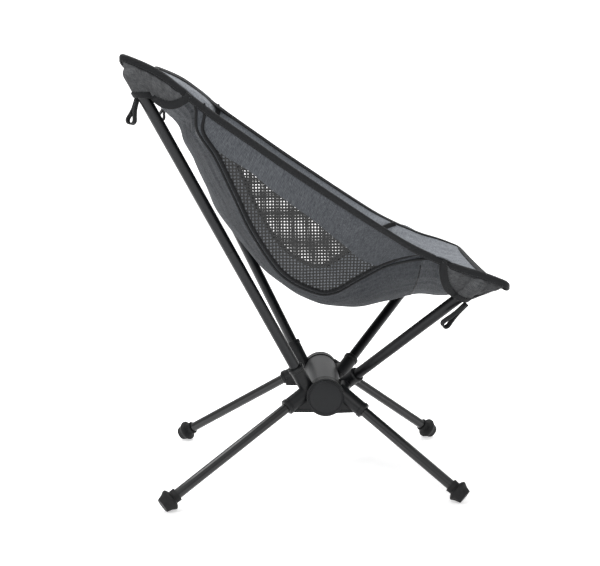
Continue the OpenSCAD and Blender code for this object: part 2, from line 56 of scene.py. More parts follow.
# Middle line of the centre strip
KEEL = np.array([
    (-258, 0, 602), (-234, 0, 576), (-211, 0, 550), (-202, 0, 528),
    (-193, 0, 506), (-171, 0, 456), (-140, 0, 399), (-77, 0, 323),
    (-22, 0, 284), (20, 0, 270), (60, 0, 268), (105, 0, 277),
    (148, 0, 287), (187, 0, 286), (230, 0, 290), (276, 0, 303)]) * MM
# Rim over the side panel at stations 3 to 11
RIM = EDGE.copy()
RIM[3:12] = np.array([
    (-145, 242, 568), (-120, 241, 550), (-85, 240, 525), (-50, 238, 500), (-5, 236, 469),
    (30, 234, 445), (55, 233, 428), (82, 232, 410), (112, 230, 391)]) * MM
# Share of the side panel that is net, from the seam up, at stations 3 to 11
NET_SHARE = np.array([(-0.15,), (0.20,), (0.52,), (0.64,), (0.70,), (0.66,), (0.58,), (0.34,), (0,)])
NET_FIRST, NET_LAST = 3, 11
SIDE_FIRST, SIDE_LAST = 2, 12
LAST = 15
CUP_POWER = 2.1
BACK_SEAM_SIDE, BACK_SEAM_MIDDLE, BACK_SEAM_POWER = 3.9, 1.15, 1.8
FRONT_SEAM = 11.72
RIM_JOIN = 7
CLOTH = 1.2 * MM


def along(points, t):
    """Smooth curve through a list of points, t counted in stations."""
    t = np.asarray(t, float)
    i = np.clip(np.floor(t).astype(int), 0, len(points) - 2)
    u = (t - i)[..., None]
    a, b, c, d = (points[np.clip(i + k, 0, len(points) - 1)] for k in (-1, 0, 1, 2))
    return 0.5 * (2 * b + (c - a) * u + (2 * a - 5 * b + 4 * c - d) * u ** 2
                  + (3 * b - a - 3 * c + d) * u ** 3)


def strip(t, v):
    """Point of the centre strip; v runs from -1 at the right edge to 1 at the left edge."""
    t, v = np.broadcast_arrays(np.asarray(t, float), np.asarray(v, float))
    e, k = along(EDGE, t), along(KEEL, t)
    f = np.abs(v) ** CUP_POWER
    return np.stack([k[..., 0] + (e[..., 0] - k[..., 0]) * f, e[..., 1] * v,
                     k[..., 2] + (e[..., 2] - k[..., 2]) * f], -1)


def side(t, s):
    """Point of the left side panel; s runs from 0 at the seam to 1 at the rim."""
    t, s = np.broadcast_arrays(np.asarray(t, float), np.asarray(s, float))
    e, r = along(EDGE, t), along(RIM, t)
    return e + (r - e) * s[..., None]


def net_edge(t):
    """Share of the side panel that is net at station t."""
    t = np.asarray(t, float)
    share = along(NET_SHARE, np.clip(t - NET_FIRST, 0, NET_LAST - NET_FIRST))[..., 0]
    return np.clip(share, 0, 1)


def unit(v):
    v = np.asarray(v, float)
    return v / np.maximum(np.linalg.norm(v, axis=-1, keepdims=True), 1e-12)


def smooth(x, low, high):
    """0 below low, 1 above high, with an even turn between."""
    x = np.clip((np.asarray(x, float) - low) / (high - low), 0, 1)
    return x * x * (3 - 2 * x)


def lengths(path):
    """Distance travelled along a row of points."""
    return np.concatenate([[0], np.cumsum(np.linalg.norm(np.diff(path, axis=0), axis=1))])


def resample(path, step):
    """The same line with points at an even spacing near step."""
    run = lengths(path)
    at = np.linspace(0, run[-1], max(3, int(round(run[-1] / step)) + 1))
    return np.stack([np.interp(at, run, path[:, k]) for k in range(3)], 1)


def relax(path, passes):
    """Rounds the corners of a line; its ends stay."""
    path = path.copy()
    for _ in range(passes):
        path[1:-1] = path[1:-1] * 0.5 + (path[:-2] + path[2:]) * 0.25
    return path


def grid_normals(grid):
    return unit(np.cross(np.gradient(grid, axis=0), np.gradient(grid, axis=1)))


def folds(u, v, seed, spacing, lean=0.25, count=7):
    """Soft random folds, about -1 to 1, that run along v and follow each other along u."""
    rng = np.random.default_rng(seed)
    total = np.zeros(np.broadcast(u, v).shape)
    for _ in range(count):
        pitch = spacing * rng.uniform(0.6, 1.9)
        turn = rng.normal(0, lean)
        total += rng.uniform(0.5, 1) * np.sin(
            2 * math.pi / pitch * (u * math.cos(turn) + v * math.sin(turn)) + rng.uniform(0, 2 * math.pi))
    return total / count ** 0.5


# ---- Node materials ----
class Nodes:
    """A material's node tree with one Principled shader, and short ways to add to it."""

    def __init__(self, name, **sockets):
        self.material = bpy.data.materials.new(name)
        self.material.use_nodes = True
        self.tree = self.material.node_tree
        self.shader = self.tree.nodes["Principled BSDF"]
        for socket, value in sockets.items():
            self.shader.inputs[socket.replace("_", " ")].default_value = value

    def add(self, kind, inputs=(), **settings):
        made = self.tree.nodes.new("ShaderNode" + kind)
        for key, value in settings.items():
            setattr(made, key, value)
        for key, value in dict(inputs).items():
            if isinstance(value, bpy.types.NodeSocket):
                self.tree.links.new(value, made.inputs[key])
            else:
                made.inputs[key].default_value = value
        return made

    def math(self, operation, a, b=0.0):
        return self.add("Math", {0: a, 1: b}, operation=operation).outputs[0]

    def stretch(self, vector, scale):
        return self.add("VectorMath", {0: vector, 1: scale}, operation="MULTIPLY").outputs[0]

    def noise(self, vector, detail=2.0, roughness=0.5):
        made = self.add("TexNoise", {"Vector": vector, "Scale": 1.0, "Detail": detail,
                                     "Roughness": roughness})
        return made.outputs["Fac"]

    def ramp(self, value, stops):
        made = self.add("ValToRGB", {"Fac": value})
        band = made.color_ramp
        while len(band.elements) < len(stops):
            band.elements.new(0.5)
        for element, (place, color) in zip(band.elements, stops):
            element.position = place
            element.color = color if len(color) == 4 else (*color, 1)
        return made.outputs["Color"]

    def spread(self, value, low, high, to_low, to_high):
        made = self.add("MapRange", {"Value": value, "From Min": low, "From Max": high,
                                     "To Min": to_low, "To Max": to_high})
        return made.outputs["Result"]

    def bump(self, height, distance, strength=1.0, normal=None):
        inputs = {"Height": height, "Distance": distance, "Strength": strength}
        if normal is not None:
            inputs["Normal"] = normal
        return self.add("Bump", inputs).outputs["Normal"]

    def join(self, socket, value):
        self.tree.links.new(value, self.shader.inputs[socket])


def grey(level, cool=0.0):
    """Linear colour of an sRGB grey level from 0 to 255, a little bluer as cool grows."""
    x = level / 255
    linear = ((x + 0.055) / 1.055) ** 2.4
    return (linear * (1 - cool), linear, linear * (1 + 1.6 * cool))


def melange(name, level, contrast=0.25, cool=0.05):
    """Woven polyester of mixed grey yarns: slubs along warp and weft, mottling and a fine plain weave."""
    n = Nodes(name, Roughness=0.86, Sheen_Weight=0.12, Sheen_Roughness=0.5, Specular_IOR_Level=0.25)
    cloth = n.add("Attribute", attribute_name="cloth").outputs["Vector"]
    warp = n.noise(n.stretch(cloth, (1450, 150, 40)), detail=1.5)
    weft = n.noise(n.stretch(cloth, (150, 1450, 70)), detail=1.5)
    cloud = n.noise(n.stretch(cloth, (170, 170, 30)), detail=3.0, roughness=0.65)
    yarn = n.math("ADD", n.math("MULTIPLY", warp, 0.42), n.math("MULTIPLY", weft, 0.42))
    tone = n.math("ADD", yarn, n.math("MULTIPLY", cloud, 0.16))
    dark, light = level * (1 - contrast), level * (1 + contrast)
    n.join("Base Color", n.ramp(tone, [(0.36, grey(dark, cool)), (0.5, grey(level, cool)),
                                       (0.64, grey(light, cool * 0.6))]))
    parts = n.add("SeparateXYZ", {0: cloth})
    per_metre = 2 * math.pi / (0.75 * MM)
    across = n.math("SINE", n.math("MULTIPLY", parts.outputs["X"], per_metre))
    length = n.math("SINE", n.math("MULTIPLY", parts.outputs["Y"], per_metre))
    weave = n.math("MULTIPLY", across, length)
    n.join("Normal", n.bump(n.math("ADD", weave, n.math("MULTIPLY", tone, 1.6)), 0.12 * MM, 0.55))
    n.join("Roughness", n.spread(tone, 0.3, 0.7, 0.92, 0.78))
    return n.material


def tape(name, level, rib=1.0 * MM, cool=0.03):
    """Woven black tape: ribs across its length, a paler worn ridge on each and dull lint."""
    n = Nodes(name, Roughness=0.62, Sheen_Weight=0.05, Sheen_Roughness=0.45, Specular_IOR_Level=0.25)
    cloth = n.add("Attribute", attribute_name="cloth").outputs["Vector"]
    parts = n.add("SeparateXYZ", {0: cloth})
    ribs = n.math("SINE", n.math("MULTIPLY", parts.outputs["Y"], 2 * math.pi / rib))
    yarn = n.math("SINE", n.math("MULTIPLY", parts.outputs["X"], 2 * math.pi / (0.6 * MM)))
    lint = n.noise(n.stretch(cloth, (900, 420, 60)), detail=3.0, roughness=0.7)
    tone = n.math("ADD", n.math("MULTIPLY", ribs, 0.10), lint)
    n.join("Base Color", n.ramp(tone, [(0.32, grey(level * 0.72, cool)), (0.62, grey(level, cool)),
                                       (0.85, grey(level * 1.45, cool))]))
    height = n.math("ADD", ribs, n.math("ADD", n.math("MULTIPLY", yarn, 0.4), n.math("MULTIPLY", lint, 0.8)))
    n.join("Normal", n.bump(height, 0.14 * MM, 0.6))
    n.join("Roughness", n.spread(lint, 0.3, 0.7, 0.5, 0.74))
    return n.material


def moulded(name, level, roughness, grain=0.35 * MM, edge=0.6 * MM, cool=0.05, wear=0.25):
    """Glass-filled nylon or rubber: spark-eroded grain, edges rubbed paler and faint flow marks."""
    n = Nodes(name, Specular_IOR_Level=0.28)
    place = n.add("TexCoord").outputs["Object"]
    fine = n.noise(n.stretch(place, (1 / grain,) * 3), detail=2.0, roughness=0.6)
    flow = n.noise(n.stretch(place, (45, 45, 110)), detail=4.0, roughness=0.6)
    rounded = n.add("Bevel", {"Radius": edge}, samples=4).outputs["Normal"]
    sharp = n.add("NewGeometry").outputs["Normal"]
    facing = n.add("VectorMath", {0: rounded, 1: sharp}, operation="DOT_PRODUCT").outputs["Value"]
    rubbed = n.math("MULTIPLY", n.spread(facing, 0.995, 0.86, 0, 1), n.spread(flow, 0.35, 0.65, 0.3, 1))
    base = n.ramp(n.math("ADD", n.math("MULTIPLY", flow, 0.6), n.math("MULTIPLY", fine, 0.4)),
                  [(0.35, grey(level * 0.86, cool)), (0.65, grey(level * 1.12, cool))])
    mixed = n.add("Mix", {"Factor": n.math("MULTIPLY", rubbed, wear)}, data_type="RGBA")
    n.tree.links.new(base, mixed.inputs["A"])
    mixed.inputs["B"].default_value = (*grey(level * 1.9, cool), 1)
    n.join("Base Color", mixed.outputs["Result"])
    n.join("Roughness", n.spread(n.math("ADD", n.math("MULTIPLY", fine, 0.5), n.math("MULTIPLY", flow, 0.5)),
                                 0.35, 0.65, roughness - 0.07, roughness + 0.09))
    n.join("Normal", n.bump(fine, 0.05 * MM, 0.5, rounded))
    return n.material


def drawn_tube(name, level, axis, roughness=0.32, metallic=0.6, cool=0.07, seal=0.0):
    """Anodised drawn tube: fine draw lines along its axis, a slightly cloudy dye and small scuffs."""
    n = Nodes(name, Metallic=metallic, Specular_IOR_Level=0.5, Coat_Weight=seal, Coat_Roughness=0.07)
    place = n.add("TexCoord").outputs["Object"]
    axis = tuple(unit(axis))
    run = n.add("VectorMath", {0: place, 1: axis}, operation="DOT_PRODUCT").outputs["Value"]

    def lengthways(fine, coarse):
        drawn = n.math("MULTIPLY", run, coarse - fine)
        shift = n.add("VectorMath", {0: axis, "Scale": drawn}, operation="SCALE").outputs[0]
        even = n.stretch(place, (fine,) * 3)
        return n.add("VectorMath", {0: even, 1: shift}, operation="ADD").outputs[0]

    lines = n.noise(lengthways(2600, 14), detail=2.0, roughness=0.6)
    cloud = n.noise(lengthways(60, 12), detail=3.0, roughness=0.55)
    scuff = n.noise(lengthways(700, 160), detail=5.0, roughness=0.75)
    marks = n.spread(scuff, 0.66, 0.74, 0, 1)
    tone = n.math("ADD", n.math("MULTIPLY", lines, 0.4), n.math("MULTIPLY", cloud, 0.6))
    base = n.ramp(tone, [(0.35, grey(level * 0.85, cool)), (0.65, grey(level * 1.15, cool))])
    mixed = n.add("Mix", {"Factor": n.math("MULTIPLY", marks, 0.35)}, data_type="RGBA")
    n.tree.links.new(base, mixed.inputs["A"])
    mixed.inputs["B"].default_value = (*grey(level * 1.8, 0.02), 1)
    n.join("Base Color", mixed.outputs["Result"])
    n.join("Roughness", n.math("ADD", n.spread(tone, 0.35, 0.65, roughness - 0.05, roughness + 0.07),
                               n.math("MULTIPLY", marks, 0.15)))
    n.join("Normal", n.bump(lines, 0.02 * MM, 0.35))
    return n.material


def turned_tube(name, level, pitch=2.4 * MM):
    """Bead-blasted cross tube with faint bands round its axis, which is along Y."""
    n = Nodes(name, Metallic=0.55, Specular_IOR_Level=0.5)
    place = n.add("TexCoord").outputs["Object"]
    parts = n.add("SeparateXYZ", {0: place})
    band = n.math("SINE", n.math("MULTIPLY", parts.outputs["Y"], 2 * math.pi / pitch))
    drift = n.noise(n.stretch(place, (8, 320, 8)), detail=3.0)
    blast = n.noise(n.stretch(place, (2400,) * 3), detail=2.0)
    mottle = n.math("ADD", n.math("MULTIPLY", drift, 0.7), n.math("MULTIPLY", blast, 0.3))
    tone = n.math("ADD", n.math("MULTIPLY", band, 0.05), mottle)
    n.join("Base Color", n.ramp(tone, [(0.35, grey(level * 0.84, 0.02)), (0.65, grey(level * 1.12, 0.02))]))
    n.join("Roughness", n.spread(tone, 0.35, 0.65, 0.40, 0.52))
    n.join("Normal", n.bump(n.math("ADD", n.math("MULTIPLY", band, 0.5), blast), 0.04 * MM, 0.5))
    return n.material


def thread(name, level):
    """Plied sewing thread or net yarn."""
    n = Nodes(name, Roughness=0.55, Sheen_Weight=0.08, Specular_IOR_Level=0.4)
    place = n.add("TexCoord").outputs["Object"]
    ply = n.noise(n.stretch(place, (2600, 2600, 2600)), detail=2.0)
    n.join("Base Color", n.ramp(ply, [(0.35, grey(level * 0.75, 0.03)), (0.65, grey(level * 1.3, 0.03))]))
    n.join("Normal", n.bump(ply, 0.1 * MM, 0.5))
    n.join("Roughness", n.spread(ply, 0.3, 0.7, 0.45, 0.65))
    return n.material


FABRIC_LIGHT = melange("melange_light", 105, cool=0.07)
# Seat panel cloth: partly the cloth's own darker melange and partly painted shade for the seat's downward
# face
FABRIC_DARK_AND_SHADED = melange("melange_dark_and_shaded", 87, contrast=0.26, cool=0.085)
FABRIC_SIDE = melange("melange_side", 103, cool=0.075)
FABRIC_POCKET = melange("melange_pocket", 91, cool=0.03)
BINDING = tape("black_binding", 19, cool=0.12)
SEAM_TAPE = tape("black_seam_tape", 19, cool=0.12)
WEBBING = tape("black_webbing", 52, rib=1.3 * MM)
NET = thread("black_net", 24)
STITCH = thread("black_thread", 52)
PALE_STITCH = thread("grey_thread", 112)


# ---- Meshes ----
SHARP_EDGE = math.radians(50)


def quads(n, m, wrap=False):
    """Faces of a grid of n rows and m columns, whose columns may close into a ring."""
    i, j = np.meshgrid(np.arange(n - 1), np.arange(m if wrap else m - 1), indexing="ij")
    a, b = i * m + j, i * m + (j + 1) % m
    return np.stack([a, b, b + m, a + m], -1).reshape(-1, 4)


def enclosed(points, faces):
    """Signed volume inside a closed mesh, six times over; below 0 its faces look inwards."""
    middle = points.mean(0)
    fans = np.array([(f[0], f[k], f[k + 1]) for f in faces for k in range(1, len(f) - 1)])
    a, b, c = (points[fans[:, k]] - middle for k in range(3))
    return float((a * np.cross(b, c)).sum())


def piece(name, points, faces, material, hand=1, cloth=None, body="frame", slot=None, flat_faces=False):
    """A mesh piece; hand -1 mirrors it to the right. cloth holds its thread coordinates in metres."""
    points = np.array(points, float).reshape(-1, 3)
    faces = [tuple(int(k) for k in f) for f in faces]
    if hand < 0:
        points[:, 1] *= -1
    if enclosed(points, faces) < 0:
        faces = [f[::-1] for f in faces]
    mesh = bpy.data.meshes.new(name)
    mesh.from_pydata(points.tolist(), [], faces)
    mesh.validate()
    if cloth is not None:
        data = mesh.attributes.new("cloth", "FLOAT_VECTOR", "POINT").data
        data.foreach_set("vector", np.asarray(cloth, np.float32).reshape(-1, 3).ravel())
    mesh.materials.append(material)
    if not flat_faces:
        mesh.polygons.foreach_set("use_smooth", [True] * len(mesh.polygons))
        mesh.set_sharp_from_angle(angle=SHARP_EDGE)
    obj = bpy.data.objects.new(name, mesh)
    bpy.context.scene.collection.objects.link(obj)
    if body:
        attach(obj, body)
    return obj


def shell(name, grid, cloth, material, thick=CLOTH, **how):
    """Closed cloth of even thickness on a grid of points."""
    n, m = grid.shape[:2]
    normals = grid_normals(grid)
    both = np.concatenate([(grid + normals * thick / 2).reshape(-1, 3),
                           (grid - normals * thick / 2).reshape(-1, 3)])
    top = quads(n, m)
    count = n * m
    ring = np.concatenate([np.arange(m), np.arange(1, n) * m + m - 1,
                           np.arange(m - 2, -1, -1) + (n - 1) * m, np.arange(n - 2, 0, -1) * m])
    after = np.roll(ring, -1)
    wall = np.stack([after, ring, ring + count, after + count], -1)
    faces = np.concatenate([top, top[:, ::-1] + count, wall])
    twice = np.concatenate([cloth.reshape(-1, 3), cloth.reshape(-1, 3) + (0, 0, 0.05)])
    return piece(name, both, faces, material, cloth=twice, **how)


def swept(name, path, profiles, across, out, material, **how):
    """A closed bar along path. profiles[i] is a ring of (across, out) offsets at point i."""
    n, m = profiles.shape[:2]
    points = (path[:, None] + across[:, None] * profiles[:, :, :1] + out[:, None] * profiles[:, :, 1:])
    faces = [f for f in quads(n, m, wrap=True)]
    points = points.reshape(-1, 3)
    centres = np.array([points[:m].mean(0), points[-m:].mean(0)])
    for k in range(m):
        faces.append((n * m, (k + 1) % m, k))
        faces.append((n * m + 1, (n - 1) * m + k, (n - 1) * m + (k + 1) % m))
    run = lengths(path)
    ring = np.concatenate([np.zeros((n, 1)), np.cumsum(np.linalg.norm(
        np.diff(profiles, axis=1), axis=2), axis=1)], axis=1)
    cloth = np.stack([ring, np.repeat(run[:, None], m, 1), np.zeros((n, m))], -1).reshape(-1, 3)
    cloth = np.concatenate([cloth, [cloth[0], cloth[-1]]])
    return piece(name, np.concatenate([points, centres]), faces, material, cloth=cloth, **how)


def tangents(path):
    return unit(np.gradient(path, axis=0))


def frames(path, down):
    """For each point: the direction down the cloth, square to the path, and the outward one."""
    along_path = tangents(path)
    down = unit(down - along_path * (down * along_path).sum(-1, keepdims=True))
    return down, np.cross(down, along_path)


# ---- Corners: where the sling hooks over a pole, for the left side ----
class Corner:
    """A sling corner: its hem, the pole that fills its pocket, and a lean with low and high distances along
    it.
    """

    def __init__(self, end, station, tip, root, lean, low, high):
        self.end, self.station = end, station
        self.tip, self.axis = np.array(tip), unit(np.subtract(root, tip))
        self.lean, self.low, self.high = unit(lean), low, high
        self.turn = 1 if end == "back" else -1

    def body(self, hand):
        return f"{self.end}_pocket_{'left' if hand > 0 else 'right'}"

    def blend(self, obj, hand):
        """Bakes a piece's placement into its mesh and leaves its shape as it is; low and high, distances
        along lean, go unused.
        """
        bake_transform(obj)

    def hem(self, first, last, count):
        return strip(np.full(count, float(self.station)), np.linspace(first, last, count))


HUB = np.array((5, 0, 142.5)) * MM
BACK_ROOT = HUB + np.array((-26, 86, 7.5)) * MM
FRONT_ROOT = HUB + np.array((33.5, 46, 9)) * MM
BACK = Corner("back", 0, tip=(-0.2595, 0.2463, 0.627), root=BACK_ROOT,
              lean=(-0.45, 0.65, 0.60), low=0.5860, high=0.6300)
FRONT = Corner("front", LAST, tip=(0.217, 0.220, 0.3325), root=FRONT_ROOT,
               lean=(0.85, 0.50, -0.15), low=0.1880, high=0.2190)
CORNERS = (BACK, FRONT)
POCKET_LEN = {"back": 41 * MM, "front": 43 * MM}
# How far the mouth leans along the pole for each millimetre of height
MOUTH_SLANT = {"back": 0.72, "front": 0.60}
MOUTH_R = 10.4 * MM
CORNER_R = 15 * MM
# Usual distance between stations, and half the centre strip's width
STATION_LEN, STRIP_HALF = 55 * MM, 250 * MM


# ---- Seat panels ----
def back_seam(v):
    """Station of the seam between the back and seat panels, which rises towards the middle."""
    return BACK_SEAM_MIDDLE + (BACK_SEAM_SIDE - BACK_SEAM_MIDDLE) * np.abs(v) ** BACK_SEAM_POWER


KEEL_RUN = lengths(KEEL)


def strip_cloth(t, v):
    """Thread coordinates of the centre strip: across, along, 0."""
    run = np.interp(t, np.arange(len(KEEL)), KEEL_RUN)
    return np.stack([v * STRIP_HALF, run, 0 * run], -1)


def strip_relief(t, v):
    """Folds of the centre strip: long ones that the side seams pull, and shallow dents."""
    across, down = v * STRIP_HALF, np.interp(t, np.arange(len(KEEL)), KEEL_RUN)
    held = smooth(np.abs(v), 0.30, 0.80) * (1 - smooth(np.abs(v), 0.93, 1.0))
    free = 1 - smooth(np.abs(v), 0.85, 1.0)
    ends = smooth(t, 0, 0.5) * (1 - smooth(t, LAST - 0.5, LAST))
    pulled = 1.1 * MM * folds(across, down, 11, 0.020, 0.12) * held
    dents = 1.3 * MM * folds(across, down, 5, 0.085, 0.9) * free
    return (pulled + dents) * ends


def strip_grid(t, v, hand=1):
    grid = strip(t, v)
    return grid + grid_normals(grid) * strip_relief(t, v * hand)[..., None]


def round_corner(corner, t, v):
    """Draws stations and shares back from the sling's corner, so that the cloth's corner is round."""
    along_rim = (CORNER_R - np.abs(t - corner.station) * STATION_LEN) / CORNER_R
    along_hem = (CORNER_R - (1 - v) * STRIP_HALF) / CORNER_R
    a, b = np.clip(along_rim, 0, 1), np.clip(along_hem, 0, 1)
    shorter_a, shorter_b = a - a * np.sqrt(1 - b * b / 2), b - b * np.sqrt(1 - a * a / 2)
    return t + corner.turn * shorter_a * CORNER_R / STATION_LEN, v - shorter_b * CORNER_R / STRIP_HALF


def front_seam(v):
    """Station of the seam between the seat and front panels."""
    return FRONT_SEAM + 0 * v


def hem_station(v):
    """Station of the front hem."""
    return LAST + 0 * v


def half_panel(corner, first, last, rows, columns=64):
    """Left and right halves of the back or front panel, each rounded at its own corner."""
    for word, hand in SIDES.items():
        w, v = np.meshgrid(np.linspace(0, 1, rows), np.linspace(0, 1, columns), indexing="ij")
        t, v = round_corner(corner, first(v) + w * (last(v) - first(v)), v)
        cloth = strip_cloth(t, v * hand)
        made = shell(f"{corner.end}_panel_cloth_{word}", strip_grid(t, v, hand), cloth, FABRIC_LIGHT,
                     hand=hand, body=None, slot="light_fabric")
        corner.blend(made, hand)
        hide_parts(f"{corner.end}_panel")


def make_panels():
    half_panel(BACK, np.zeros_like, back_seam, 60)
    half_panel(FRONT, front_seam, hem_station, 40)
    w, v = np.meshgrid(np.linspace(0, 1, 130), np.linspace(-1, 1, 129), indexing="ij")
    t = back_seam(v) + w * (FRONT_SEAM - back_seam(v))
    # The seat panel's darker cloth is partly painted shade for its downward face
    made = shell("seat_panel_cloth", strip_grid(t, v), strip_cloth(t, v), FABRIC_DARK_AND_SHADED, slot="dark_fabric")
    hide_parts("seat_panel")


# Share of the side panel's depth by which its cloth overlaps the net
NET_OVERLAP = 0.03
# The side panel's usual depth
SIDE_DEPTH = 120 * MM


def side_relief(t, s):
    """Folds of a side panel: wide shallow ones and narrow faint ones."""
    run, depth = t * 0.045, s * SIDE_DEPTH
    wide = 0.9 * MM * folds(run, depth, 21, 0.060, 0.5)
    narrow = 0.14 * MM * folds(run, depth, 23, 0.016, 0.6)
    return (wide + narrow) * smooth(s, 0, 0.2) * (1 - smooth(s, 0.6, 0.86))


def make_side_panels():
    for word, hand in SIDES.items():
        stations = np.linspace(SIDE_FIRST + 0.04, SIDE_LAST - 0.04, 150)
        t, w = np.meshgrid(stations, np.linspace(0, 1, 34), indexing="ij")
        edge = net_edge(t)
        low = np.where(edge > 0, np.maximum(edge - NET_OVERLAP, 0), 0)
        s = low + (1 - low) * w
        grid = side(t, s)
        grid = grid + grid_normals(grid) * side_relief(t, s)[..., None]
        depth = np.linalg.norm(along(RIM, t) - along(EDGE, t), axis=-1)
        run = lengths(along(EDGE, t[:, 0]))[:, None]
        cloth = np.stack([s * depth + hand * 0.31, run + 0 * s, 0 * s], -1)
        made = shell(f"side_panel_cloth_{word}", grid, cloth, FABRIC_SIDE, hand=hand, slot="side_fabric")
        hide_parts(f"side_panel_{word}")


# ---- Net ----
NET_PITCH = 4.8 * MM
# Half the width of a hole, and how far its corners are drawn in
NET_HOLE, HOLE_CORNER = 1.42 * MM, 0.82
YARN_T = 0.9 * MM


def on_side_panel(x, z):
    """Stations and shares of the side panel's points with those x and z, by Newton's method."""
    stations = np.linspace(NET_FIRST - 0.3, NET_LAST + 0.3, 160)
    ts, ss = np.meshgrid(stations, np.linspace(-0.1, 1, 60), indexing="ij")
    seen = side(ts, ss)
    sx, sz = seen[..., 0].ravel(), seen[..., 2].ravel()
    nearest = np.array([np.argmin((sx - a) ** 2 + (sz - b) ** 2) for a, b in zip(x, z)])
    t, s = ts.ravel()[nearest], ss.ravel()[nearest]
    small = 1e-4
    for _ in range(5):
        here = side(t, s)
        dt, ds = (side(t + small, s) - here) / small, (side(t, s + small) - here) / small
        ex, ez = x - here[:, 0], z - here[:, 2]
        det = dt[:, 0] * ds[:, 2] - dt[:, 2] * ds[:, 0]
        det = np.where(np.abs(det) < 1e-9, 1e-9, det)
        t = t + np.clip((ex * ds[:, 2] - ez * ds[:, 0]) / det, -0.3, 0.3)
        t = np.clip(t, NET_FIRST - 0.5, NET_LAST + 0.5)
        s = np.clip(s + np.clip((ez * dt[:, 0] - ex * dt[:, 2]) / det, -0.1, 0.1), -0.2, 1.1)
    return t, s


def thicken(points, faces, normals, thick):
    """Top and bottom copies of an open mesh of points, joined round every open edge."""
    count = len(points)
    both = np.concatenate([points + normals * thick[:, None] / 2, points - normals * thick[:, None] / 2])
    used = dict.fromkeys((a, b) for f in faces for a, b in zip(f, f[1:] + f[:1]))
    walls = [(b, a, a + count, b + count) for a, b in used if (b, a) not in used]
    return both, list(faces) + [tuple(k + count for k in reversed(f)) for f in faces] + walls


def make_net():
    """Square-holed net with its yarns level and upright."""
    xs = np.arange(-0.180, 0.125, NET_PITCH)
    zs = np.arange(0.300, 0.570, NET_PITCH)
    cx, cz = (a.ravel() for a in np.meshgrid(xs, zs, indexing="ij"))
    t, s = on_side_panel(cx, cz)
    found = side(t, s)
    hit = np.hypot(found[:, 0] - cx, found[:, 2] - cz) < 0.2 * MM
    inside = hit & (t > NET_FIRST + 0.1) & (t < NET_LAST - 0.08) & (s > -0.01) & (s < net_edge(t) + 0.015)
    cells = [(int(round((a - xs[0]) / NET_PITCH)), int(round((b - zs[0]) / NET_PITCH)))
             for a, b in zip(cx[inside], cz[inside])]
    spots, index, faces, hole = [], {}, [], []

    def spot(key, x, z, in_hole):
        """Index of a point, which neighbouring cells share through its key."""
        if key not in index:
            index[key] = len(spots)
            spots.append((x, z))
            hole.append(in_hole)
        return index[key]

    turns = [(1, 0), (1, 1), (0, 1), (-1, 1), (-1, 0), (-1, -1), (0, -1), (1, -1)]
    for i, k in cells:
        mid_x, mid_z = xs[0] + i * NET_PITCH, zs[0] + k * NET_PITCH
        outer, inner = [], []
        for a, b in turns:
            x, z = xs[0] + (2 * i + a) * NET_PITCH / 2, zs[0] + (2 * k + b) * NET_PITCH / 2
            outer.append(spot((2 * i + a, 2 * k + b), x, z, False))
        for a, b in turns:
            reach = HOLE_CORNER if a and b else 1
            inner.append(spot((i, k, a, b), mid_x + a * NET_HOLE * reach, mid_z + b * NET_HOLE * reach, True))
        for q in range(len(turns)):
            r = (q + 1) % len(turns)
            faces.append((outer[q], outer[r], inner[r], inner[q]))
    spots, hole = np.array(spots), np.array(hole)
    t, s = on_side_panel(spots[:, 0], spots[:, 1])
    points = side(t, s)
    small = 1e-3
    normals = unit(np.cross(side(t + small, s) - points, side(t, s + small) - points))
    points = points + normals * side_relief(t, s)[:, None]
    points, faces = thicken(points, faces, normals, np.where(hole, YARN_T * 0.45, YARN_T))
    for word, hand in SIDES.items():
        made = piece(f"side_net_{word}", points, faces, NET, hand=hand, slot="mesh")
        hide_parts(f"mesh_panel_{word}")


# ---- Bindings ----
# Section of the folded rim tape in millimetres: down from the edge it covers, and outwards
OUTER_FLANGE = np.array([(-1.5, 0), (-1.0, 1.5), (0.3, 2.4), (3, 2.7), (6, 2.7), (7.8, 2.4), (8.5, 1.5),
                         (8.3, 0.5), (1.5, 0.3)]) * MM
INNER_FLANGE = np.array([(1.5, -0.3), (8.3, -0.5), (8.0, -1.8), (7.2, -2.5), (2.5, -2.6), (0.3, -2.1),
                         (-1.0, -1.3)]) * MM
RIM_TAPE = np.concatenate([OUTER_FLANGE, INNER_FLANGE])
UP = np.array((0, 0, 1.0))


def rim_down(t):
    """Direction down the cloth from the rim: along the side panel, and upright near the corners."""
    lean = unit(side(t, 0.8) - side(t, 1.0))
    share = smooth(t, 2.4, 4.0) * (1 - smooth(t, 10.6, 11.8))
    return unit(lean * share[:, None] - UP * (1 - share[:, None]))


def cloth_down(t):
    """Way from the rim into the cloth that the inner flange lies on, as long as the flange is wide."""
    on_side_cloth = (smooth(t, 2.2, 3.2) * (1 - smooth(t, 11.0, 11.9)))[:, None]
    strip_way = unit(strip(t, 0.94) - strip(t, 1.0))
    width = 1.25 - 0.70 * smooth(t, 2.2, 3.2)[:, None]
    return unit(rim_down(t) * on_side_cloth + strip_way * (1 - on_side_cloth)) * width


def rim_path(corner):
    """Half of the rim from its join, round the corner and along the hem to the middle."""
    t = np.linspace(RIM_JOIN, corner.station, 90)
    v = np.linspace(1, 0, 70)
    rim, hem = along(RIM, t), corner.hem(1, 0, 70)
    path = np.concatenate([rim, hem[1:]])
    inward = unit(strip(np.abs(corner.station - 0.3), v) - hem)
    upright = smooth(v, 0.72, 0.95)[:, None]
    down = np.concatenate([rim_down(t), unit(inward * (1 - upright) - UP * upright)[1:]])
    lie = np.concatenate([cloth_down(t), inward[1:]])
    run = lengths(path)
    path = relax(resample(path, 3.5 * MM), 8)
    at = np.linspace(0, run[-1], len(path))
    down, lie = (np.stack([np.interp(at, run, way[:, k]) for k in range(3)], 1) for way in (down, lie))
    return path, relax(down, 12), relax(lie, 12)


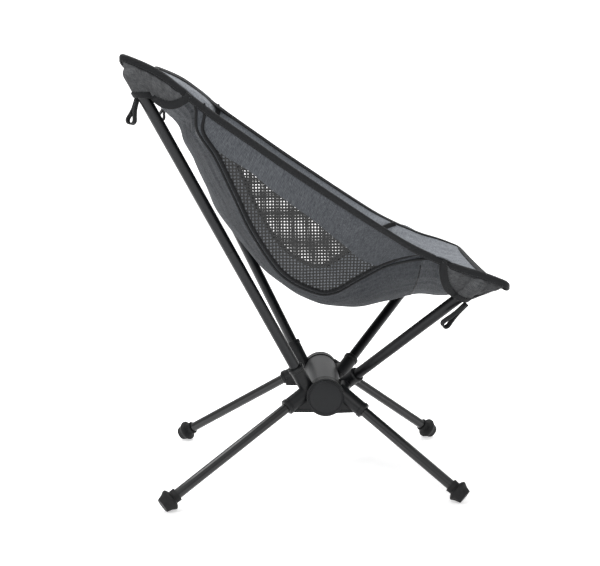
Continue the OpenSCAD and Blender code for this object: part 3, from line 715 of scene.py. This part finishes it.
def open_tape(down, out, lie):
    """The tape's section at each point, with its inner flange turned to lie on the cloth."""
    flat = unit(np.stack([(lie * down).sum(-1), (lie * out).sum(-1)], -1))
    upward = np.stack([-flat[:, 1], flat[:, 0]], -1)
    width = np.linalg.norm(lie, axis=-1)[:, None]
    reach = INNER_FLANGE[None, :, 0] * np.where(INNER_FLANGE[None, :, 0] > 2 * MM, width, 1)
    inner = flat[:, None] * reach[..., None] + upward[:, None] * INNER_FLANGE[None, :, 1:]
    return np.concatenate([np.repeat(OUTER_FLANGE[None], len(down), 0), inner], 1)


def stitches(name, path, out, down, material, hand=1, body="frame", pitch=3.8 * MM, radius=0.27 * MM):
    """A row of short raised stitches, with out square to the cloth."""
    run = lengths(path)
    points, faces = [], []
    shape = np.array([(-0.5, 0.15), (-0.3, 0.9), (0.3, 0.9), (0.5, 0.15)])
    length, sides = 2.6 * MM, 5
    for start in np.arange(pitch, run[-1] - pitch, pitch):
        centre = np.array([np.interp(start, run, path[:, k]) for k in range(3)])
        i = min(np.searchsorted(run, start), len(path) - 1)
        ahead = unit(path[min(i + 1, len(path) - 1)] - path[max(i - 1, 0)])
        base = len(points)
        for place, wide in shape:
            for a in range(sides):
                angle = 2 * math.pi * a / sides
                points.append(centre + ahead * place * length
                              + (down[i] * math.cos(angle) + out[i] * math.sin(angle)) * radius * wide)
        faces += [tuple(f + base) for f in quads(len(shape), sides, wrap=True)]
        faces.append(tuple(base + k for k in range(sides)))
        faces.append(tuple(base + (len(shape) - 1) * sides + k for k in reversed(range(sides))))
    return piece(name, points, faces, material, hand=hand, body=body, slot="binding")


def make_rim():
    for corner in CORNERS:
        for word, hand in SIDES.items():
            path, down, lie = rim_path(corner)
            down, out = frames(path, down)
            out = out * corner.turn
            made = swept(f"{corner.end}_rim_tape_{word}", path, open_tape(down, out, lie), down, out, BINDING,
                         hand=hand, body=None, slot="binding")
            corner.blend(made, hand)
            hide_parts(f"rim_binding_{word}", f"{corner.end}_pocket_binding_{word}",
                        "top_hem" if corner is BACK else "front_hem")
            line = path + down * 6.8 * MM + out * 2.6 * MM
            sewn = stitches(f"{corner.end}_rim_stitches_{word}", line, out, down, STITCH, hand, None)
            corner.blend(sewn, hand)


# Stations between which the seam tape shows; beyond them it is under the rim tape
SEAM_FIRST, SEAM_LAST = SIDE_FIRST + 0.13, SIDE_LAST - 0.16
BEAD = np.array([(-2.0, -0.8), (-1.9, 2.2), (-0.9, 3.1), (0.9, 3.1), (1.9, 2.2), (2.0, -0.8)]) * MM


def make_seams():
    """Taped side seam: two beads on a strip of cloth, which part towards the ends, and a tape inside."""
    t = np.linspace(SEAM_FIRST, SEAM_LAST, 190)
    path = along(EDGE, t)
    ahead = tangents(path)
    middle = (smooth(t, 2.4, 3.3) * (1 - smooth(t, 10.9, 11.6)))[:, None]
    folded = unit(unit(side(t, 0.12) - path) - unit(strip(t, 0.95) - path))
    flat = unit(np.cross(ahead, np.array((0, 1, 0))))
    across, out = frames(path, relax(unit(folded * middle + flat * (1 - middle)), 20))
    ends = smooth(t, SEAM_FIRST, SEAM_FIRST + 0.12) * (1 - smooth(t, SEAM_LAST - 0.15, SEAM_LAST))
    gap = (3.1 + 2.9 * (1 - smooth(t, 2.2, 3.4)) + 0.8 * smooth(t, 10.9, 11.8)) * MM
    lift = 0.55 + 0.45 * ends
    level = np.ones_like(t) * MM
    base = [(-gap, level * 1.3), (gap, level * 1.3), (gap, level * -1.3), (-gap, level * -1.3)]
    flat = [(-gap - 1.6 * MM, level * -0.4), (gap + 1.6 * MM, level * -0.4),
            (gap + 1.2 * MM, level * -2.6), (-gap - 1.2 * MM, level * -2.6)]
    bars = [("ground", base, FABRIC_DARK_AND_SHADED), ("inner", flat, SEAM_TAPE)]
    for edge, sign in (("rear", -1), ("fore", 1)):
        bars.append((edge, [(sign * gap + a, lift * o) for a, o in BEAD], SEAM_TAPE))
    for word, hand in SIDES.items():
        for part, ring, cloth in bars:
            profiles = np.stack([np.stack(pair, -1) for pair in ring], 1)
            made = swept(f"side_seam_{part}_{word}", path, profiles, across, out, cloth, hand=hand,
                         slot="piping")
            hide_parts(f"seam_piping_{word}")


# Half widths and heights of the lapped seams, with their cloth and thread
CROSS_SEAMS = (("back_cross_seam", back_seam, 2.6, 0.85, FABRIC_LIGHT, PALE_STITCH),
               ("front_cross_seam", front_seam, 1.1, 1.0, SEAM_TAPE, STITCH))


def make_cross_seams():
    """Lapped seams across the seat: a low ridge with a row of stitches on each side of it."""
    v = np.linspace(-0.915, 0.915, 150)
    small = 0.05
    for name, station, wide, high, cloth, sewing in CROSS_SEAMS:
        t = station(v)
        path = strip(t, v)
        normal = unit(np.cross(strip(t + small, v) - path, strip(t, v + small) - path))
        path = path + normal * strip_relief(t, v)[:, None]
        across = unit(np.cross(normal, tangents(path)))
        flat = wide * 0.85
        half = np.array([(-wide, 0), (-flat, high), (flat, high),
                         (wide, 0), (flat, -high), (-flat, -high)]) * MM
        swept(name, path, np.repeat(half[None], len(v), 0), across, normal, cloth, slot="dark_fabric")
        for word, face in (("inner", 1), ("outer", -1)):
            line = path + across * wide * 0.55 * MM + normal * face * high * MM
            stitches(f"{name}_stitches_{word}", line, normal * face, across, sewing, pitch=4.4 * MM,
                     radius=0.2 * MM)


# ---- Corner pockets ----
# Per corner: (share along the pocket's border, rim or hem place) pairs. Places above 0 are stations along
# the rim from the corner, and below 0 twice the share of the half hem.
BORDER = {
    "back": ((0, 1.84), (0.42, 0.50), (0.56, 0.10), (0.70, -0.12), (1, -0.52)),
    "front": ((0, 2.73), (0.40, 1.30), (0.50, 1.00), (0.62, 0.76), (1, -0.10)),
}
# Point that draws the pocket's open edge down between its start and the pole
SAG = {"back": (-0.207, 0.2395, 0.563), "front": (0.156, 0.2275, 0.326)}
# Width of the pocket's tape over the rim tape's: at the start, the mouth and the far end
TAPE_SHARE = {"back": (1.25, 0.90, 0.90), "front": (1.20, 1.0, 0.40)}
# Shares along the pocket's edge between which it passes round the pole
RING_FIRST, RING_LAST = 0.42, 0.70
# Rows of cloth from the open edge up to the one that sets the tape's direction
TAPE_ROWS = 7
# Way in which the pocket bulges, and how far
OUTWARD = {"back": (-0.35, 0.90, -0.25), "front": (0.35, 0.85, -0.40)}
BULGE = 3.5 * MM
CLEAR_OF_POLE = 9.5 * MM


def border_point(corner, q):
    """Point of the rim or hem at signed places q from the corner."""
    q = np.asarray(q, float)
    rim = along(RIM, corner.station + np.maximum(q, 0) * corner.turn)
    hem = strip(float(corner.station), 1 + np.minimum(q, 0) / 2)
    return np.where((q > 0)[:, None], rim, hem)


def pocket_edges(corner, count):
    """The pocket's sewn border and its open lower edge, which passes round the pole."""
    j = np.linspace(0, 1, count)
    nodes = np.array(BORDER[corner.end])
    top = border_point(corner, np.interp(j, nodes[:, 0], nodes[:, 1]))
    top = relax(top, 50)
    mouth = corner.tip + corner.axis * POCKET_LEN[corner.end]

    def square(way):
        return unit(way - corner.axis * (way @ corner.axis))

    to_start, to_end = square(top[0] - mouth), square(top[-1] - mouth)
    outer = square(-(to_start + to_end))
    second = unit(outer - to_start * (outer @ to_start))
    last = math.atan2(to_end @ second, to_end @ to_start) % (2 * math.pi)

    def ring(angle):
        round_pole = MOUTH_R * (np.cos(angle)[:, None] * to_start + np.sin(angle)[:, None] * second)
        higher = round_pole @ square(UP)
        return mouth + round_pole + corner.axis * (higher * MOUTH_SLANT[corner.end])[:, None]

    angle = 0.35 + (last - 0.7) * np.clip((j - RING_FIRST) / (RING_LAST - RING_FIRST), 0, 1)
    low = ring(angle)
    start, end = low[0].copy(), low[-1].copy()
    u = np.clip(j / RING_FIRST, 0, 1)[:, None]
    sagged = top[0] * (1 - u) ** 2 + 2 * np.array(SAG[corner.end]) * u * (1 - u) + start * u * u
    w = np.clip((j - RING_LAST) / (1 - RING_LAST), 0, 1)[:, None]
    slack = (end + top[-1]) / 2 - UP * 3 * MM
    closing = end * (1 - w) ** 2 + 2 * slack * w * (1 - w) + top[-1] * w * w
    low = np.where((j < RING_FIRST)[:, None], sagged, np.where((j > RING_LAST)[:, None], closing, low))
    low = relax(low, 2)
    return j, top, low, mouth


def off_the_pole(corner, points):
    """Pushes cloth out to lie on the pole where it would cut into it."""
    run = np.maximum((points - corner.tip) @ corner.axis, 4 * MM)
    centre = corner.tip + run[..., None] * corner.axis
    out = points - centre
    dist = np.linalg.norm(out, axis=-1, keepdims=True)
    soft = CLEAR_OF_POLE + 0.6 * MM * np.logaddexp(0, (dist - CLEAR_OF_POLE) / (0.6 * MM))
    return centre + out / np.maximum(dist, 1e-6) * soft


def pocket_relief(corner, j, w):
    """Gathers that hang from the rim, and the crease under the rim tape of a back pocket."""
    on_pole = smooth(j, 0.36, 0.46) * (1 - smooth(j, 0.68, 0.76))
    free = np.sin(math.pi * np.clip(w, 0, 1)) ** 0.7
    if corner is BACK:
        gathers = 0.9 * MM * folds(j * 0.16, w * 0.045, 41, 0.0075, 0.22)
        gathers = gathers + 0.8 * MM * folds(j * 0.16, w * 0.045, 43, 0.02, 0.3)
        crease = -2.0 * MM * np.exp(-((w - 0.17 - 0.10 * (j - 0.2)) / 0.035) ** 2)
        crease = crease * smooth(j, 0.16, 0.24) * (1 - smooth(j, 0.40, 0.46))
    else:
        gathers = 0.8 * MM * folds(w * 0.04, j * 0.16, 47, 0.0085, 0.35)
        gathers = gathers + 0.7 * MM * folds(j * 0.16, w * 0.04, 49, 0.022, 0.4)
        crease = 0
    return gathers * free * (1 - 0.75 * on_pole) * (1 - smooth(w, 0.66, 0.84)) + crease


def pocket_grid(corner, j, top, low):
    """Points of the pocket's cloth, from its sewn border down to its open edge."""
    jj, ww = np.broadcast_arrays(j[None], np.linspace(0, 1, 30)[:, None])
    straight = top[None] * (1 - ww[..., None]) + low[None] * ww[..., None]
    away = unit(OUTWARD[corner.end])
    grid = off_the_pole(corner, straight + BULGE * (np.sin(math.pi * ww) ** 2.2)[..., None] * away)
    normals = grid_normals(grid)
    if (normals * away).sum() < 0:
        normals = -normals
    return off_the_pole(corner, grid + normals * pocket_relief(corner, jj, ww)[..., None]), ww


def pocket_tape(corner, j, low, mouth, grid):
    """Ways down and out of the tape on the open edge, its share of the rim tape's width, and its sections."""
    reach = grid[-TAPE_ROWS] - low
    # Where the pocket closes to nothing, the nearest good direction is kept
    good = np.flatnonzero(np.linalg.norm(reach, axis=1) > 2 * MM)
    reach = reach[np.clip(np.arange(len(low)), good[0], good[-1])]
    down, out = frames(low, relax(unit(reach), 10))
    round_pole = (j > RING_FIRST) & (j < RING_LAST)
    if (out * (low - mouth)).sum(-1)[round_pole].sum() < 0:
        out = -out
    start, at_mouth, end = TAPE_SHARE[corner.end]
    wide = np.interp(j, (0, RING_FIRST - 0.08, RING_FIRST, RING_LAST, RING_LAST + 0.1, 1),
                     (start, start, at_mouth, at_mouth, end, end))
    thin = 1 - 0.6 * smooth(j, RING_LAST + 0.02, RING_LAST + 0.12)
    return down, out, wide, RIM_TAPE[None] * np.stack([wide, thin], -1)[:, None]


def make_pockets():
    for corner in CORNERS:
        j, top, low, mouth = pocket_edges(corner, 120)
        grid, ww = pocket_grid(corner, j, top, low)
        down, out, wide, profiles = pocket_tape(corner, j, low, mouth, grid)
        run = lengths(low)[None] + 0 * ww
        depth = np.linalg.norm(low - top, axis=1)[None] * ww
        line = low + down * (wide * 8.2 * MM)[:, None] + out * 2.1 * MM
        for word, hand in SIDES.items():
            cloth = np.stack([run + 0.4 * hand, depth, 0 * depth], -1)
            made = shell(f"{corner.end}_pocket_cloth_{word}", grid, cloth, FABRIC_POCKET, hand=hand,
                         body=None, slot="pocket_fabric")
            corner.blend(made, hand)
            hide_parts(f"{corner.end}_pocket_{word}")
            bound = swept(f"{corner.end}_pocket_tape_{word}", low, profiles, down, out, BINDING, hand=hand,
                          body=None, slot="binding")
            corner.blend(bound, hand)
            sewn = stitches(f"{corner.end}_pocket_stitches_{word}", line, out, down, STITCH, hand, None)
            corner.blend(sewn, hand)


# ---- Pull loops ----
# Per end: the loop's hinge, its lean and twist in degrees, and its length below the hinge
LOOPS = {"back": ((-0.25376, 0.23166, 0.58342), 17, 27, 29 * MM),
         "front": ((0.19587, 0.19940, 0.29315), 46, -27, 40 * MM)}
LOOP_OPEN, LOOP_ABOVE, WEB_W, WEB_T = 14 * MM, 8 * MM, 9.5 * MM, 2.0 * MM


def make_loops():
    """Webbing folded into a teardrop, twisted a little about its length."""
    for end, (hinge, tilt, twist, length) in LOOPS.items():
        r = (LOOP_OPEN - WEB_T) / 2
        low = -length + r + WEB_T / 2
        leg = np.array([(0.9 * MM, LOOP_ABOVE), (0.9 * MM, low * 0.3), (0.45 * r, low * 0.6), (r, low)])
        arc = np.array([(r * math.cos(a), low + r * math.sin(a))
                        for a in np.linspace(-0.1, -math.pi + 0.1, 12)])
        flat = np.concatenate([leg, arc, leg[::-1] * (-1, 1)])
        path = np.stack([flat[:, 0], 0 * flat[:, 0], flat[:, 1]], -1)
        path = relax(resample(path, 1.0 * MM), 6)
        wide = np.tile(np.array((0, 1.0, 0)), (len(path), 1))
        out = unit(np.cross(wide, tangents(path)))
        curl = 0.35 * MM * np.sin(path[:, 2] / length * 7)
        path = path + out * curl[:, None] * 0.5
        h, k = WEB_W / 2, WEB_T / 2
        e = h - 0.4 * MM
        ring = np.array([(-h, -k * 0.4), (-e, -k), (0, -k * 0.85), (e, -k), (h, -k * 0.4),
                         (h, k * 0.4), (e, k), (0, k * 0.85), (-e, k), (-h, k * 0.4)])
        tilted = Matrix.Rotation(math.radians(tilt), 3, "Y")
        turn = np.array(tilted @ Matrix.Rotation(math.radians(twist), 3, "Z"))
        profiles = np.repeat(ring[None], len(path), 0)
        for word, hand in SIDES.items():
            made = swept(f"{end}_pull_webbing_{word}", path @ turn.T + np.array(hinge), profiles,
                         wide @ turn.T, out @ turn.T, WEBBING, hand=hand, body=f"{end}_pull_loop_{word}",
                         slot="webbing")
            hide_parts(f"{end}_pull_loop_{word}")


# ---- CAD pieces that keep their shape ----
# Ends of the left legs: in the hub and at the foot
LEGS = {
    "rear": (HUB + np.array((-30, 88, 4.5)) * MM, np.array((-0.225, 0.192, 0.017))),
    "front": (HUB + np.array((29, 95, 1.5)) * MM, np.array((0.193, 0.178, 0.0176))),
}
# Clear seal over the dye of the back poles
BACK_POLE_SEAL = {"left": 0.4, "right": 0.1}


def dress(material, *nodes):
    """Gives CAD nodes a finished material."""
    for node in nodes:
        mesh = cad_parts[node].data
        mesh.materials.clear()
        mesh.materials.append(material)


def dress_frame():
    hub = moulded("hub_nylon", 22, 0.42, cool=0.08)
    cap = moulded("hub_cap_nylon", 25, 0.46, grain=0.3 * MM, cool=0.09)
    rubber = moulded("foot_rubber", 22, 0.62, grain=0.5 * MM, edge=0.8 * MM, cool=0.03, wear=0.4)
    end_cap = moulded("tip_cap_nylon", 24, 0.5)
    cross = turned_tube("cross_tube_blasted", 88)
    cord = thread("elastic_cord_sleeve", 190)
    inner = drawn_tube("bare_aluminium", 165, (0, 0, 1), roughness=0.3, metallic=0.95, cool=0.01)
    dress(cross, "hub_cross_tube")
    for word, hand in SIDES.items():
        mirror = np.array((1, hand, 1))
        dress(hub, f"hub_{word}")
        dress(cap, f"hub_cap_{word}")
        for end, (root, foot) in LEGS.items():
            leg = drawn_tube(f"{end}_leg_anodised_{word}", 20, (foot - root) * mirror, seal=0.6)
            dress(leg, f"{end}_leg_{word}")
            dress(rubber, f"{end}_foot_{word}")
            dress(cord, f"{end}_leg_cord_{word}")
        back = drawn_tube(f"back_pole_anodised_{word}", 30, BACK.axis * mirror, seal=BACK_POLE_SEAL[word])
        front = drawn_tube(f"front_pole_anodised_{word}", 27, FRONT.axis * mirror)
        dress(back, f"back_pole_lower_{word}", f"back_pole_upper_{word}")
        dress(front, f"front_pole_{word}")
        dress(inner, f"back_ferrule_{word}")
        for end in ("back", "front"):
            dress(end_cap, f"{end}_tip_cap_{word}")
            dress(cord, f"{end}_pole_cord_{word}")


# ---- Studio ----
FLOOR_R, FLOOR_Z, BACKDROP_R = 7.0, -0.0006, 9
FLOOR_COLOR, FLOOR_GLOW = (0.95, 0.95, 0.95), 0.5
# Name, place, target, width, height and power of each lamp
LAMPS = (
    ("overhead_softbox", (-0.2, 0.5, 2.6), (0, 0, 0.3), 2.4, 1.6, 70),
    ("camera_side_softbox", (-1.2, -2.2, 2.2), (0, 0, 0.3), 1.2, 0.5, 22),
    ("glint_lamp", (0.1, -2.4, 1.5), (0, 0, 0.15), 0.13, 0.13, 5),
)


def flat_material(name, color, emission=0.0):
    n = Nodes(name, Base_Color=(*color, 1), Roughness=0.9)
    if emission:
        n.shader.inputs["Emission Color"].default_value = (*color, 1)
        n.shader.inputs["Emission Strength"].default_value = emission
    return n.material


def disc(name, radius, z, count=96):
    turns = np.linspace(0, 2 * math.pi, count, endpoint=False)
    points = np.stack([radius * np.cos(turns), radius * np.sin(turns), 0 * turns + z], -1)
    paint = flat_material(name + "_paint", FLOOR_COLOR, FLOOR_GLOW)
    return piece(name, points, [tuple(range(count))], paint, body=None, flat_faces=True)


def softbox(name, place, target, width, height, power):
    lamp = bpy.data.lights.new(name, "AREA")
    lamp.shape, lamp.size, lamp.size_y = "RECTANGLE", width, height
    lamp.energy = power
    obj = bpy.data.objects.new(name, lamp)
    obj.location = place
    obj.rotation_euler = (Vector(target) - Vector(place)).to_track_quat("-Z", "Y").to_euler()
    bpy.context.scene.collection.objects.link(obj)


def make_studio():
    floor = disc("studio_floor", FLOOR_R, FLOOR_Z)
    floor.visible_diffuse = False
    bpy.ops.mesh.primitive_uv_sphere_add(segments=48, ring_count=24, radius=BACKDROP_R)
    dome = bpy.context.object
    dome.name = "studio_backdrop"
    dome.data.materials.append(flat_material("backdrop_paint", (1, 1, 1), 1.0))
    dome.visible_diffuse = dome.visible_glossy = dome.visible_shadow = dome.visible_transmission = False
    world = bpy.data.worlds.new("studio_air")
    world.use_nodes = True
    tree = world.node_tree
    place = tree.nodes.new("ShaderNodeTexCoord")
    split = tree.nodes.new("ShaderNodeSeparateXYZ")
    ramp = tree.nodes.new("ShaderNodeMapRange")
    ramp.inputs["From Min"].default_value, ramp.inputs["From Max"].default_value = -0.6, 0.9
    ramp.inputs["To Min"].default_value, ramp.inputs["To Max"].default_value = 0.42, 0.85
    tree.links.new(place.outputs["Generated"], split.inputs[0])
    tree.links.new(split.outputs["Z"], ramp.inputs["Value"])
    tree.links.new(ramp.outputs["Result"], tree.nodes["Background"].inputs["Strength"])
    tree.nodes["Background"].inputs["Color"].default_value = (1, 1, 1, 1)
    bpy.context.scene.world = world
    for lamp in LAMPS:
        softbox(*lamp)


CAMERA_PLACE, FOCAL = (-0.0744, -1.9025, 0.5772), 73.33


def make_camera():
    """Side view from 1.9 m, turned and rolled a little, at about the height of the back's top."""
    yaw, pitch, roll = -0.0236, -0.1432, -0.0121
    ahead = np.array((-math.sin(yaw) * math.cos(pitch), math.cos(yaw) * math.cos(pitch), math.sin(pitch)))
    level = np.array((math.cos(yaw), math.sin(yaw), 0))
    upright = np.cross(level, ahead)
    right = level * math.cos(roll) + upright * math.sin(roll)
    up = upright * math.cos(roll) - level * math.sin(roll)
    data = bpy.data.cameras.new("side_camera")
    data.lens, data.sensor_width = FOCAL, 36
    data.clip_end = 40
    obj = bpy.data.objects.new("side_camera", data)
    turn = np.eye(4)
    turn[:3, 0], turn[:3, 1], turn[:3, 2], turn[:3, 3] = right, up, -ahead, CAMERA_PLACE
    obj.matrix_world = Matrix(turn.tolist())
    bpy.context.scene.collection.objects.link(obj)
    bpy.context.scene.camera = obj


make_camera()
make_studio()
dress_frame()
make_panels()
make_side_panels()
make_net()
make_rim()
make_seams()
make_cross_seams()
make_pockets()
make_loops()
bpy.context.scene.view_settings.view_transform = "Standard"
